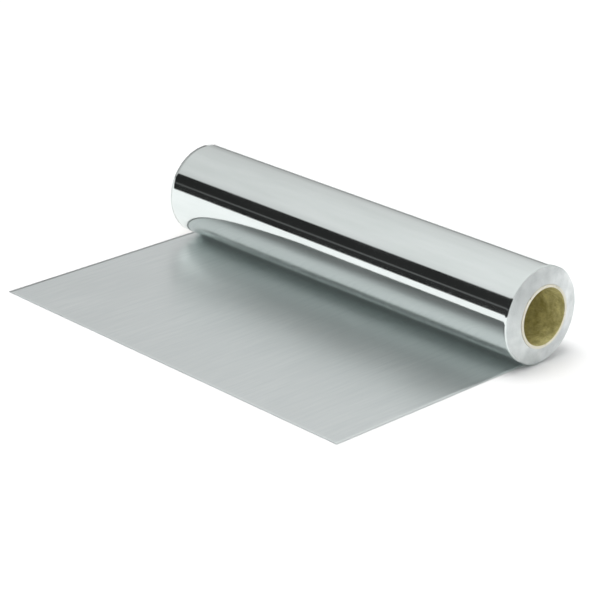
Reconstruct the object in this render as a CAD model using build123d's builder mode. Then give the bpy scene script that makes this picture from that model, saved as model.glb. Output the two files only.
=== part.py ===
"""Roll of metal foil on a spiral-wound paperboard core, with its leading length laid out flat.

Millimetres, +Z up. The origin is the middle of the core's axis and +X runs along that axis, so the
roll turns about X. The leaf lies on the table in front of the roll, towards -Y.

The foil is one continuous strip. It is cut where it changes shape as the roll travels:
  foil_leaf       the flat length on the table
  foil_outer_lap  the lap the strip runs through on its way from the table round onto the coil
  foil_coil       the laps already wound, which turn with the core
"""

import os
from math import degrees

from build123d import *

# Driving dimensions
foil_width = 300.0  # along the roll's axis
foil_thickness = 0.12
table_drop = 30.5  # from the roll's axis down to the table
leaf_length = 162.0  # from the line under the axis to the free edge
coil_laps = 70
running_clearance = 0.03  # between faces that pass each other
lap_air = 0.02  # air left between neighbouring laps of the outer lap
outer_lap_clearance = 0.10  # between the turning coil and the outer lap
sideways_pull = -4.0  # how far the leaf and the outer lap have slipped along X off the coil

core_bore_radius = 18.0
core_overhang = 2.5  # how far the core stands out past the coil at each end
ply_thickness = 0.40
glue_line = 0.02  # between neighbouring plies
ply_names = ("core_inner_ply", "core_second_ply", "core_third_ply", "core_outer_ply")
seam_lead = 92.0  # how far the winding advances along the core in each turn
seam_gap = 0.4  # where a ply's neighbouring turns meet, edge to edge

tape_thickness = 0.12
tape_width = 10.0  # round the core

# Worked-out dimensions
core_length = foil_width + 2 * core_overhang
ply_pitch = ply_thickness + glue_line
core_radius = core_bore_radius + len(ply_names) * ply_pitch - glue_line
leaf_top = foil_thickness - table_drop
outer_lap_radius = -leaf_top - running_clearance  # outer face of the lap, where it is lowest
outer_lap_pitch = foil_thickness + lap_air
outer_lap_inner_start = outer_lap_radius - foil_thickness - outer_lap_pitch
coil_radius = outer_lap_inner_start - outer_lap_clearance
coil_inner_start = core_radius + tape_thickness + running_clearance
wound_allowance = 1.25 * seam_lead  # wound past each end of a ply and then cut off
coil_pitch = (coil_radius - foil_thickness - coil_inner_start) / coil_laps

BOTTOM = -90.0  # degrees in the YZ plane, from +Y towards +Z
TOP = 90.0
HALF_TURN = 180.0


def spiral_strip(inner_radius, pitch, laps):
    """Draws the outline of a strip wound clockwise and outwards from the bottom, in the YZ plane.

    Each half lap is an arc. The centres alternate between the axis and half a pitch below it, so
    that neighbouring arcs meet with no kink.
    """
    low_centre = (0, -pitch / 2)
    for half in range(2 * laps):
        radius = inner_radius + half * pitch / 2
        centre, start = ((0, 0), BOTTOM) if half % 2 == 0 else (low_centre, TOP)
        CenterArc(centre, radius, start, -HALF_TURN)
        CenterArc(centre, radius + foil_thickness, start, -HALF_TURN)
    for end_radius in (inner_radius, inner_radius + laps * pitch):
        Line((0, -end_radius), (0, -end_radius - foil_thickness))


def ring_sector(inner_radius, outer_radius, start, sweep_angle):
    """Draws the outline of part of a ring round the axis, in the YZ plane."""
    inner = CenterArc((0, 0), inner_radius, start, sweep_angle)
    outer = CenterArc((0, 0), outer_radius, start, sweep_angle)
    Line(inner @ 0, outer @ 0)
    Line(inner @ 1, outer @ 1)


def finish_piece(builder, name):
    """Labels a finished piece and writes it to its own STEP file."""
    builder.part.label = name
    export_step(builder.part, f"parts/{name}.step")


def core_ply(index):
    """One ply of the core: a board strip wound in a helix, with a butt seam between its turns.

    It is wound long, as a real core is, and then cut to length.
    """
    inner_radius = core_bore_radius + index * ply_pitch
    middle_radius = inner_radius + ply_thickness / 2
    # Starting each seam further back turns it round the tube, so no seam lies over another.
    seam_setback = seam_lead * (index + 1) / (len(ply_names) + 1)
    seam_start = -core_length / 2 - seam_setback
    with BuildPart() as ply:
        with BuildSketch(Plane.YZ):
            Circle(inner_radius + ply_thickness)
            Circle(inner_radius, mode=Mode.SUBTRACT)
        extrude(amount=core_length / 2 + wound_allowance, both=True)
        with BuildLine() as seam:
            Helix(
                pitch=seam_lead,
                height=core_length + seam_setback + seam_lead / len(ply_names),
                radius=middle_radius,
                center=(seam_start, 0, 0),
                direction=(1, 0, 0),
            )
        outwards = (seam.line @ 0) - Vector(seam_start, 0, 0)
        with BuildSketch(Plane(seam.line @ 0, x_dir=outwards, z_dir=seam.line % 0)):
            Rectangle(2 * ply_thickness, seam_gap)
        sweep(path=seam.line, is_frenet=True, mode=Mode.SUBTRACT)
        Box(core_length, 3 * middle_radius, 3 * middle_radius, mode=Mode.INTERSECT)
    return ply


def start_tape():
    """The strip of double-sided tape that holds the foil's inner end to the core."""
    tape_angle = degrees(tape_width / core_radius)
    with BuildPart() as tape:
        with BuildSketch(Plane.YZ):
            with BuildLine():
                ring_sector(core_radius, core_radius + tape_thickness, BOTTOM, -tape_angle)
            make_face()
        extrude(amount=foil_width / 2, both=True)
    return tape


def wound_foil(inner_radius, pitch, laps, middle_x=0.0):
    """A length of the foil wound in a spiral, with the middle of its width at middle_x."""
    with BuildPart() as wound:
        with BuildSketch(Plane.YZ.offset(middle_x)):
            with BuildLine():
                spiral_strip(inner_radius, pitch, laps)
            make_face()
        extrude(amount=foil_width / 2, both=True)
    return wound


def foil_leaf():
    """The flat length of foil on the table, from its free edge to the line under the roll's axis."""
    with BuildPart() as leaf:
        with BuildSketch(Plane.XY.offset(-table_drop)):
            with Locations((sideways_pull, -leaf_length / 2)):
                Rectangle(foil_width, leaf_length)
        extrude(amount=foil_thickness)
    return leaf


os.makedirs("parts", exist_ok=True)
for ply_index, ply_name in enumerate(ply_names):
    finish_piece(core_ply(ply_index), ply_name)
finish_piece(start_tape(), "start_tape")
finish_piece(wound_foil(coil_inner_start, coil_pitch, coil_laps), "foil_coil")
finish_piece(wound_foil(outer_lap_inner_start, outer_lap_pitch, 1, sideways_pull), "foil_outer_lap")
finish_piece(foil_leaf(), "foil_leaf")
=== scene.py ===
"""Looks for the roll of metal foil on its board core.

The leaf and the outer lap are one continuous strip, and the coil's laps show their cut edges. Metres,
in the CAD frame: +X runs along the roll's axis, +Z is up and the leaf lies towards -Y.
"""

from math import cos, pi, radians, sin

import bpy
import numpy as np
from mathutils import Matrix, Vector, noise


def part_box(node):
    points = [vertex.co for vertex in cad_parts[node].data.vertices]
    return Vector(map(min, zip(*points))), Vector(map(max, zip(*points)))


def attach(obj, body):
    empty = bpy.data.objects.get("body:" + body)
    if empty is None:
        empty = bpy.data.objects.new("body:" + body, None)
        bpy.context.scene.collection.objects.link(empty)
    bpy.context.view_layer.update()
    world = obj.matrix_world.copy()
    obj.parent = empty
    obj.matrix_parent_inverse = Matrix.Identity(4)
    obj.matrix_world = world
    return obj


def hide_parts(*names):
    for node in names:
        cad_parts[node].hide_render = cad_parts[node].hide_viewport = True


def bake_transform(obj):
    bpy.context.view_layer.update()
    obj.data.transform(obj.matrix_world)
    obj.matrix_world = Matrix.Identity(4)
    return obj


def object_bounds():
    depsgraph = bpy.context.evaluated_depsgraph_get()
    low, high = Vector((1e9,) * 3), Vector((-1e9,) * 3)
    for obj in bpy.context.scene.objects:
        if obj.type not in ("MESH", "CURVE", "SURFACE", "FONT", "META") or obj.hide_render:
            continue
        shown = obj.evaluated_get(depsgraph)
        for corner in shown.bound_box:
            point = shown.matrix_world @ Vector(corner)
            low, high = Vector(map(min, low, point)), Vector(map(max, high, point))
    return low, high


MM = 0.001
FULL_TURN = 2 * pi
BOTTOM = -pi / 2  # in the YZ plane, from +Y towards +Z
OUTER_SIDE, INNER_SIDE, CUT_EDGE = range(3)  # the foil's materials, in the order of their slots

# The foil
COIL_LAPS = 70
LAP_AIR = 0.02 * MM  # between the outer lap and the strip as it arrives from the leaf
TAPE_TO_COIL = 0.03 * MM
LEAF_STEP = 2 * MM
ACROSS_STEP = 2.5 * MM
LAP_STATIONS = 240
COIL_STATIONS_PER_LAP = 72
LEAF_WAVE = 0.10 * MM
LAP_WAVE = 0.012 * MM
WAVE_LENGTH = 55 * MM
FLAT_NEAR_ROLL = 25 * MM  # the leaf is pressed flat within this distance of the line of contact
UNEVEN_WINDING = 0.22 * MM  # how far a lap's cut edge may stand back from its neighbours
WANDER_LENGTH = 9  # laps over which the winding wanders to one side
WANDER_SHARE = 0.45  # of the uneven winding. The rest differs from lap to lap.
CONING = 2.2 * MM  # how much further along X the innermost lap lies than the outermost
BURRED = 0.3 * MM  # how far in from a cut edge the slitting has dulled the mirror side
CUT_SKIN = 0.05 * MM  # board this close to the core's ends shows its cut edge

# Places in the noise, so that no two patterns are alike
LEAF_SEED, LAP_SEED, WINDING_SEED = 3.1, 7.7, 1.3
LAP_TO_LAP = 1.9  # between one lap's raggedness and the next
END_TO_END = 40  # between the coil's two ends

# The studio
TABLE_SIZE = 12.0
TABLE_GAP = 0.3 * MM  # under the foil
TOP_LIGHT_POWER = 1.6
TOP_LIGHT_SPREAD = radians(36)
TOP_LIGHT_TILT = (radians(4), radians(-5), 0)
FOLLOWED_BOUNCES = 2.5  # deeper mirror bounces than this get some light back
LIGHT_GIVEN_BACK = 0.065

# The camera, as it stood to the object
AZIMUTH = radians(46.98)
ELEVATION = radians(22.70)
CAMERA_ROLL = radians(-0.10)
CAMERA_DISTANCE = 1.3742
AIM = Vector((0.0360, -0.0866, 0.0))
FOCAL_IN_PICTURE_WIDTHS = 3.852
SENSOR_WIDTH = 36.0

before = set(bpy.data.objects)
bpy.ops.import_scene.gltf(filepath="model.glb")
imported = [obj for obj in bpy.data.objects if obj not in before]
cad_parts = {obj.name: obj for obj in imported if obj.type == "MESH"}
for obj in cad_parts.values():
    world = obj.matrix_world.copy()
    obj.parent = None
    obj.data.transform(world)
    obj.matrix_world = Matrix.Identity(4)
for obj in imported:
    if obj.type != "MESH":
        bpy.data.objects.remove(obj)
cad_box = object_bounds()


# ---------------------------------------------------------------- geometry


def strip_points(run, middle, outward, slip, across, thickness, swell, edge_back):
    """The corners of a strip, one per station, column and side, with the outer side first."""
    points = np.zeros((len(middle), len(across), 2, 3))
    for i in range(len(middle)):
        for j, straight_x in enumerate(across):
            x = straight_x
            rise = swell(x, run[i]) if swell is not None else 0.0
            if edge_back is not None:
                x -= np.sign(x) * edge_back(i, np.sign(x))
            x += slip[i]
            for side, half in ((0, thickness / 2), (1, -thickness / 2)):
                y, z = middle[i] + outward[i] * (half + rise)
                points[i, j, side] = (x, y, z)
    return points


def strip_faces(stations, columns):
    """The four-sided faces of a closed strip, and each one's material: outer, inner or cut edge."""
    index = np.arange(stations * columns * 2).reshape(stations, columns, 2)

    def quads(a, b, c, d):
        return np.stack([a.ravel(), b.ravel(), c.ravel(), d.ravel()], axis=1)

    outer = quads(index[:-1, :-1, 0], index[1:, :-1, 0], index[1:, 1:, 0], index[:-1, 1:, 0])
    inner = quads(index[:-1, :-1, 1], index[:-1, 1:, 1], index[1:, 1:, 1], index[1:, :-1, 1])
    edges = [
        quads(index[:-1, 0, 0], index[:-1, 0, 1], index[1:, 0, 1], index[1:, 0, 0]),
        quads(index[:-1, -1, 0], index[1:, -1, 0], index[1:, -1, 1], index[:-1, -1, 1]),
        quads(index[0, :-1, 0], index[0, 1:, 0], index[0, 1:, 1], index[0, :-1, 1]),
        quads(index[-1, :-1, 0], index[-1, :-1, 1], index[-1, 1:, 1], index[-1, 1:, 0]),
    ]
    faces = np.concatenate([outer, inner] + edges)
    material_of_face = np.full(len(faces), CUT_EDGE)
    material_of_face[: len(outer)] = OUTER_SIDE
    material_of_face[len(outer) : len(outer) + len(inner)] = INNER_SIDE
    return faces, material_of_face


def strip_object(name, middle, outward, slip, across, thickness, swell=None, edge_back=None):
    """A closed strip of foil that follows a line in the YZ plane.

    middle and outward hold one (y, z) per station: the strip's middle and its outer side's normal.
    slip holds how far each station has slipped along X. across holds the stations across the width.
    swell(x, run) moves both faces outwards, and edge_back(station, side) sets the cut edges back.
    """
    run = np.concatenate([[0], np.cumsum(np.hypot(*np.diff(middle, axis=0).T))])
    points = strip_points(run, middle, outward, slip, across, thickness, swell, edge_back)
    faces, material_of_face = strip_faces(len(middle), len(across))

    mesh = bpy.data.meshes.new(name)
    mesh.from_pydata(points.reshape(-1, 3).tolist(), [], faces.tolist())
    mesh.polygons.foreach_set("material_index", material_of_face)
    mesh.polygons.foreach_set("use_smooth", material_of_face != CUT_EDGE)
    # The strip's own coordinates in metres: across it from its middle, and the run along it.
    strip_uv = np.zeros(points.shape[:3] + (2,))
    strip_uv[..., 0] = points[..., 0] - slip[:, None, None]
    strip_uv[..., 1] = run[:, None, None]
    layer = mesh.uv_layers.new(name="strip")
    layer.data.foreach_set("uv", strip_uv.reshape(-1, 2)[faces.ravel()].ravel())
    mesh.update()
    obj = bpy.data.objects.new(name, mesh)
    bpy.context.scene.collection.objects.link(obj)
    return obj


def spiral(start_radius, end_radius, turns, stations):
    """Middle line and outward normals of a spiral from the bottom, towards +Y first."""
    angle = BOTTOM + np.linspace(0, turns * FULL_TURN, stations)
    outward = np.stack([np.cos(angle), np.sin(angle)], axis=1)
    radius = np.linspace(start_radius, end_radius, stations)[:, None]
    return outward * radius, outward


def smooth_noise(x, run, scale, seed):
    """Noise between 0 and 1 over the strip."""
    return 0.5 + 0.5 * noise.noise(Vector((x / scale, run / scale, seed)))


def foil_web():
    """The leaf and the outer lap as the one strip that they are."""
    leaf_low, leaf_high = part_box("foil_leaf")
    lap_low, lap_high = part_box("foil_outer_lap")
    thickness = leaf_high.z - leaf_low.z
    contact_radius = -(leaf_high.z + leaf_low.z) / 2
    tucked_radius = -lap_low.z - 1.5 * thickness - LAP_AIR
    leaf_length = leaf_high.y - leaf_low.y
    leaf_stations = round(leaf_length / LEAF_STEP)
    leaf_y = np.linspace(leaf_low.y, leaf_high.y, leaf_stations, endpoint=False)
    leaf_middle = np.stack([leaf_y, np.full(leaf_stations, -contact_radius)], axis=1)
    leaf_outward = np.tile([0.0, -1.0], (leaf_stations, 1))
    lap_middle, lap_outward = spiral(contact_radius, tucked_radius, 1, LAP_STATIONS + 1)
    middle = np.concatenate([leaf_middle, lap_middle])
    outward = np.concatenate([leaf_outward, lap_outward])
    # The leaf has slipped sideways. The strip is back in line with the coil half a turn further on.
    pulled = (leaf_high.x + leaf_low.x) / 2
    past_contact = np.linspace(0, 2, LAP_STATIONS + 1).clip(0, 1)
    in_line = past_contact**2 * (3 - 2 * past_contact)
    slip = np.concatenate([np.full(leaf_stations, pulled), pulled * (1 - in_line)])
    half_width = (leaf_high.x - leaf_low.x) / 2
    across = np.linspace(-half_width, half_width, round(2 * half_width / ACROSS_STEP) + 1)

    def swell(x, run):
        to_contact = abs(run - leaf_length)
        fade = min(1.0, to_contact / FLAT_NEAR_ROLL)
        if run < leaf_length:
            # The leaf can only rise from the table, which is away from its outer side.
            return -LEAF_WAVE * fade * smooth_noise(x, run, WAVE_LENGTH, LEAF_SEED)
        return LAP_WAVE * fade * (2 * smooth_noise(x, run, WAVE_LENGTH, LAP_SEED) - 1)

    return strip_object("foil_web", middle, outward, slip, across, thickness, swell)


def foil_coil():
    """The wound laps, with cut edges that don't quite line up at the coil's ends."""
    low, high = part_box("foil_coil")
    leaf_low, leaf_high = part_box("foil_leaf")
    tape_low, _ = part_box("start_tape")
    thickness = leaf_high.z - leaf_low.z
    outer_radius = -low.z - thickness / 2
    inner_radius = -tape_low.z + TAPE_TO_COIL + thickness / 2
    stations = COIL_LAPS * COIL_STATIONS_PER_LAP + 1
    middle, outward = spiral(outer_radius, inner_radius, COIL_LAPS, stations)

    def edge_back(station, side):
        turn = station / COIL_STATIONS_PER_LAP
        slow = smooth_noise(turn, side, WANDER_LENGTH, WINDING_SEED)
        angle = turn * FULL_TURN
        place = turn * LAP_TO_LAP + side * END_TO_END
        ragged = noise.noise(Vector((cos(angle), sin(angle), place)))
        ragged = 0.5 + 0.5 * ragged
        return UNEVEN_WINDING * (WANDER_SHARE * slow + (1 - WANDER_SHARE) * ragged)

    slip = np.linspace(0, CONING, stations)
    across = (low.x, high.x)
    return strip_object("foil_coil_laps", middle, outward, slip, across, thickness, edge_back=edge_back)


# ---------------------------------------------------------------- materials


class Shader:
    """A node tree with helpers, so that each material reads as a short recipe."""

    def __init__(self, tree):
        self.nodes = tree.nodes
        self.links = tree.links
        self.surface = self.nodes.get("Principled BSDF")

    def node(self, kind, **inputs):
        made = self.nodes.new(kind)
        for key, value in inputs.items():
            socket = made.inputs[key.replace("_", " ")]
            if isinstance(value, bpy.types.NodeSocket):
                self.links.new(value, socket)
            else:
                socket.default_value = value
        return made

    def strip_position(self, across_scale, along_scale):
        """The strip's own coordinates, stretched so that a pattern can run along the foil."""
        uv = self.nodes.new("ShaderNodeUVMap")
        uv.uv_map = "strip"
        mapping = self.node("ShaderNodeMapping", Vector=uv.outputs["UV"])
        mapping.inputs["Scale"].default_value = (across_scale, along_scale, 1)
        return mapping.outputs["Vector"]

    def object_position(self):
        return self.nodes.new("ShaderNodeTexCoord").outputs["Object"]

    def noise(self, vector, scale, detail=2.0, roughness=0.5):
        made = self.node(
            "ShaderNodeTexNoise", Vector=vector, Scale=scale, Detail=detail, Roughness=roughness
        )
        return made.outputs["Fac"]

    def spread(self, value, low, high, from_low=0.3, from_high=0.7):
        """A value from noise, carried into the range low to high."""
        made = self.node("ShaderNodeMapRange", Value=value)
        made.inputs["From Min"].default_value = from_low
        made.inputs["From Max"].default_value = from_high
        made.inputs["To Min"].default_value = low
        made.inputs["To Max"].default_value = high
        return made.outputs["Result"]

    def mix(self, factor, a, b):
        made = self.nodes.new("ShaderNodeMix")
        made.data_type = "RGBA"
        self.put(factor, made.inputs["Factor"])
        self.put(a, made.inputs[6])
        self.put(b, made.inputs[7])
        return made.outputs[2]

    def put(self, value, socket):
        if isinstance(value, bpy.types.NodeSocket):
            self.links.new(value, socket)
        else:
            socket.default_value = value

    def maths(self, operation, a, b=0.0):
        made = self.nodes.new("ShaderNodeMath")
        made.operation = operation
        self.put(a, made.inputs[0])
        self.put(b, made.inputs[1])
        return made.outputs[0]

    def bump(self, height, distance, strength=1.0):
        made = self.node("ShaderNodeBump", Height=height, Distance=distance, Strength=strength)
        self.links.new(made.outputs["Normal"], self.surface.inputs["Normal"])

    def give_back_lost_light(self):
        """Light is only followed through a few mirror bounces. Deep between the roll and the leaf,
        this stands for the light of the bounces that aren't followed."""
        bounces = self.nodes.new("ShaderNodeLightPath").outputs["Glossy Depth"]
        deep = self.maths("GREATER_THAN", bounces, FOLLOWED_BOUNCES)
        light = self.maths("MULTIPLY", deep, LIGHT_GIVEN_BACK)
        self.set(Emission_Color=(1, 1, 1, 1), Emission_Strength=light)

    def set(self, **inputs):
        for key, value in inputs.items():
            self.put(value, self.surface.inputs[key.replace("_", " ")])


def new_material(name):
    """A new material and the helpers for its node tree."""
    material = bpy.data.materials.new(name)
    material.use_nodes = True
    return material, Shader(material.node_tree)


def bright_foil(half_width):
    """The foil's mirror side, with faint bands of haze across it and the mill's lines along it. It is
    dulled where it meets a cut edge."""
    material, s = new_material("foil_bright")
    mill_lines = s.noise(s.strip_position(1, 0.02), 900, detail=3)
    haze = s.noise(s.strip_position(0.12, 1), 150, detail=4)
    colour = s.mix(s.spread(haze, 0, 1), (0.755, 0.81, 0.795, 1), (0.81, 0.86, 0.85, 1))
    rough = s.maths("ADD", s.spread(haze, 0.05, 0.09), s.spread(mill_lines, 0, 0.03))
    across = s.node("ShaderNodeSeparateXYZ", Vector=s.strip_position(1, 1)).outputs["X"]
    from_middle = s.maths("ABSOLUTE", across)
    dulled = s.spread(from_middle, 0, 0.5, half_width - BURRED, half_width - BURRED / 2)
    s.set(Base_Color=colour, Metallic=1.0, Roughness=s.maths("ADD", rough, dulled))
    s.bump(mill_lines, 0.0005 * MM, 0.3)
    s.give_back_lost_light()
    return material


def satin_foil():
    """The foil's other side, which left the mill face to face with another sheet and is dull. The
    mill's lines run along it."""
    material, s = new_material("foil_satin")
    clouds = s.noise(s.strip_position(1, 0.7), 22, detail=2)
    grain = s.noise(s.strip_position(1, 0.3), 1800, detail=2)
    mill_lines = s.noise(s.strip_position(1, 0.06), 420, detail=4, roughness=0.6)
    colour = s.mix(s.spread(clouds, 0, 1), (0.76, 0.80, 0.795, 1), (0.81, 0.85, 0.845, 1))
    colour = s.mix(s.spread(mill_lines, 0, 1), colour, (0.73, 0.775, 0.775, 1))
    # Kept above 0.28. A range that took in 0.27 came out of the denoiser with crack-like lines.
    rough = s.maths("ADD", s.spread(clouds, 0.285, 0.31), s.spread(mill_lines, 0, 0.05))
    s.set(Base_Color=colour, Metallic=0.97, Roughness=rough)
    s.bump(grain, 0.0002 * MM, 0.2)
    s.give_back_lost_light()
    return material


def cut_foil():
    """The slit edge of the foil. The laps' edges together scatter light across their run."""
    material, s = new_material("foil_cut_edge")
    burr = s.noise(s.object_position(), 1500, detail=3)
    patches = s.noise(s.object_position(), 110, detail=3)
    colour = s.mix(s.spread(patches, 0, 1), (0.60, 0.63, 0.63, 1), (0.84, 0.865, 0.865, 1))
    along = s.nodes.new("ShaderNodeTangent")
    along.direction_type = "RADIAL"
    along.axis = "X"
    s.set(Base_Color=colour, Metallic=1.0, Roughness=s.spread(burr, 0.34, 0.48))
    s.set(Anisotropic=0.8, Anisotropic_Rotation=0.25, Tangent=along.outputs["Tangent"])
    s.bump(burr, 0.01 * MM, 0.5)
    return material


def board(name, dark, light, cut, end_x):
    """Paperboard: flecked fibres on its faces, and a paler cut edge at the core's ends."""
    material, s = new_material(name)
    position = s.object_position()
    clouds = s.noise(position, 160, detail=4, roughness=0.65)
    fibres = s.node("ShaderNodeMapping", Vector=position)
    fibres.inputs["Scale"].default_value = (0.35, 1, 1)
    flecks = s.noise(fibres.outputs["Vector"], 1900, detail=4, roughness=0.7)
    face = s.mix(s.spread(clouds, 0, 1), dark, light)
    face = s.mix(s.spread(flecks, 0, 0.45, 0.45, 0.75), face, tuple(0.55 * c for c in dark[:3]) + (1,))
    split = s.node("ShaderNodeSeparateXYZ", Vector=position)
    from_end = s.maths("ABSOLUTE", split.outputs["X"])
    at_end = s.maths("GREATER_THAN", from_end, end_x - CUT_SKIN)
    torn = s.mix(s.spread(flecks, 0, 1), cut, tuple(0.86 * c for c in cut[:3]) + (1,))
    s.set(Base_Color=s.mix(at_end, face, torn), Roughness=s.spread(clouds, 0.75, 0.95))
    s.bump(s.maths("ADD", clouds, flecks), 0.12 * MM, 0.7)
    return material


def tape():
    """Double-sided tape, faintly yellow and a little uneven."""
    material, s = new_material("start_tape")
    clouds = s.noise(s.object_position(), 220, detail=3)
    colour = s.mix(s.spread(clouds, 0, 1), (0.72, 0.68, 0.52, 1), (0.86, 0.83, 0.70, 1))
    s.set(Base_Color=colour, Roughness=s.spread(clouds, 0.4, 0.65))
    s.bump(clouds, 0.03 * MM, 0.5)
    return material


# ---------------------------------------------------------------- the object

web = foil_web()
leaf_low, leaf_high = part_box("foil_leaf")
for material in (bright_foil((leaf_high.x - leaf_low.x) / 2), satin_foil(), cut_foil()):
    web.data.materials.append(material)
coil = foil_coil()
for material in web.data.materials:
    coil.data.materials.append(material)
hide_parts("foil_leaf", "foil_outer_lap")
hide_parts("foil_coil")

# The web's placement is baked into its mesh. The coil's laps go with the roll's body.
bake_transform(web)
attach(coil, "roll")

core_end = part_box("core_outer_ply")[1].x
CREAM = (0.93, 0.90, 0.76, 1)
kraft = board("kraft_board", (0.42, 0.37, 0.14, 1), (0.93, 0.87, 0.43, 1), CREAM, core_end)
lined = board("lined_board", (0.78, 0.73, 0.60, 1), (0.90, 0.87, 0.78, 1), CREAM, core_end)
grey = board("grey_board", (0.36, 0.31, 0.22, 1), (0.52, 0.46, 0.34, 1), CREAM, core_end)
tape_material = tape()
finish_of_node = {
    "core_inner_ply": kraft,
    "core_second_ply": grey,
    "core_third_ply": grey,
    "core_outer_ply": lined,
    "start_tape": tape_material,
}
for node, material in finish_of_node.items():
    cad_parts[node].material_slots[0].material = material


# ---------------------------------------------------------------- the studio


def floor():
    """A plain white table under everything."""
    mesh = bpy.data.meshes.new("table")
    z = cad_box[0][2] - TABLE_GAP
    signs = ((-1, -1), (1, -1), (1, 1), (-1, 1))
    corners = [(x * TABLE_SIZE, y * TABLE_SIZE, z) for x, y in signs]
    mesh.from_pydata(corners, [], [(0, 1, 2, 3)])
    obj = bpy.data.objects.new("table", mesh)
    bpy.context.scene.collection.objects.link(obj)
    material, s = new_material("table_white")
    s.set(Base_Color=(0.93, 0.93, 0.93, 1), Roughness=1.0)
    s.surface.inputs["Specular IOR Level"].default_value = 0.0
    mesh.materials.append(material)


def studio_world():
    """Soft light from above and behind, and the dark of the room in front.

    The light's edges run along X, so its level depends on the angle about X, which goes from 0 at
    the horizon in front, over the top, to 180 degrees at the horizon behind. It also fades towards
    both ends of X, and the room in front has a window at its +X end.
    """
    # The dark room with one thin strip of light in it, the soft light, and the wall behind.
    levels = (
        (0.0, 0.022),
        (13.6, 0.030),
        (15.6, 0.160),
        (16.2, 0.160),
        (18.2, 0.026),
        (40.4, 0.024),
        (40.9, 0.78),
        (55.0, 0.86),
        (95.0, 0.86),
        (125.0, 0.80),
        (150.0, 0.74),
        (168.0, 0.56),
        (174.0, 0.32),
        (180.0, 0.26),
    )
    world = bpy.data.worlds.new("studio")
    bpy.context.scene.world = world
    world.use_nodes = True
    sky = Shader(world.node_tree)
    direction = sky.nodes.new("ShaderNodeTexCoord").outputs["Generated"]
    x, y, z = sky.node("ShaderNodeSeparateXYZ", Vector=direction).outputs
    forward = sky.maths("MULTIPLY", y, -1.0)
    ramp = sky.node("ShaderNodeValToRGB", Fac=sky.maths("DIVIDE", sky.maths("ARCTAN2", z, forward), pi))
    stops = ramp.color_ramp.elements
    for degrees, level in levels[1:-1]:
        stops.new(degrees / 180)
    for stop, (degrees, level) in zip(stops, levels):
        stop.position = degrees / 180
        stop.color = (level, level, level, 1)
    window = sky.maths("MULTIPLY", sky.spread(x, 0, 1, 0.55, 0.80), sky.spread(forward, 0, 1, 0.0, 0.2))
    window_level = (1.1, 1.1, 1.1, 1)
    background = sky.nodes["Background"]
    sky.put(sky.mix(window, ramp.outputs["Color"], window_level), background.inputs["Color"])
    towards_left = sky.spread(x, 0.66, 1.04, -0.85, -0.60)
    towards_right = sky.spread(x, 1.0, 0.6, 0.3, 0.7)
    sky.put(sky.maths("MULTIPLY", towards_left, towards_right), background.inputs["Strength"])


def top_light():
    """Brings the white table up to white without showing in the foil."""
    data = bpy.data.lights.new("top_light", "SUN")
    data.energy = TOP_LIGHT_POWER
    data.angle = TOP_LIGHT_SPREAD
    obj = bpy.data.objects.new("top_light", data)
    obj.rotation_euler = TOP_LIGHT_TILT
    obj.visible_glossy = False
    bpy.context.scene.collection.objects.link(obj)


def camera():
    data = bpy.data.cameras.new("camera")
    data.sensor_width = SENSOR_WIDTH
    data.lens = FOCAL_IN_PICTURE_WIDTHS * SENSOR_WIDTH
    data.clip_end = 50
    obj = bpy.data.objects.new("camera", data)
    bpy.context.scene.collection.objects.link(obj)
    back = Vector(
        (sin(AZIMUTH) * cos(ELEVATION), -cos(AZIMUTH) * cos(ELEVATION), sin(ELEVATION))
    )
    right = Vector((cos(AZIMUTH), sin(AZIMUTH), 0))
    up = back.cross(right)
    turned_right = right * cos(CAMERA_ROLL) + up * sin(CAMERA_ROLL)
    turned_up = up * cos(CAMERA_ROLL) - right * sin(CAMERA_ROLL)
    place = Matrix((turned_right, turned_up, back)).transposed().to_4x4()
    place.translation = AIM + back * CAMERA_DISTANCE
    obj.matrix_world = place
    bpy.context.scene.camera = obj


floor()
studio_world()
top_light()
camera()
bpy.context.scene.view_settings.view_transform = "Standard"
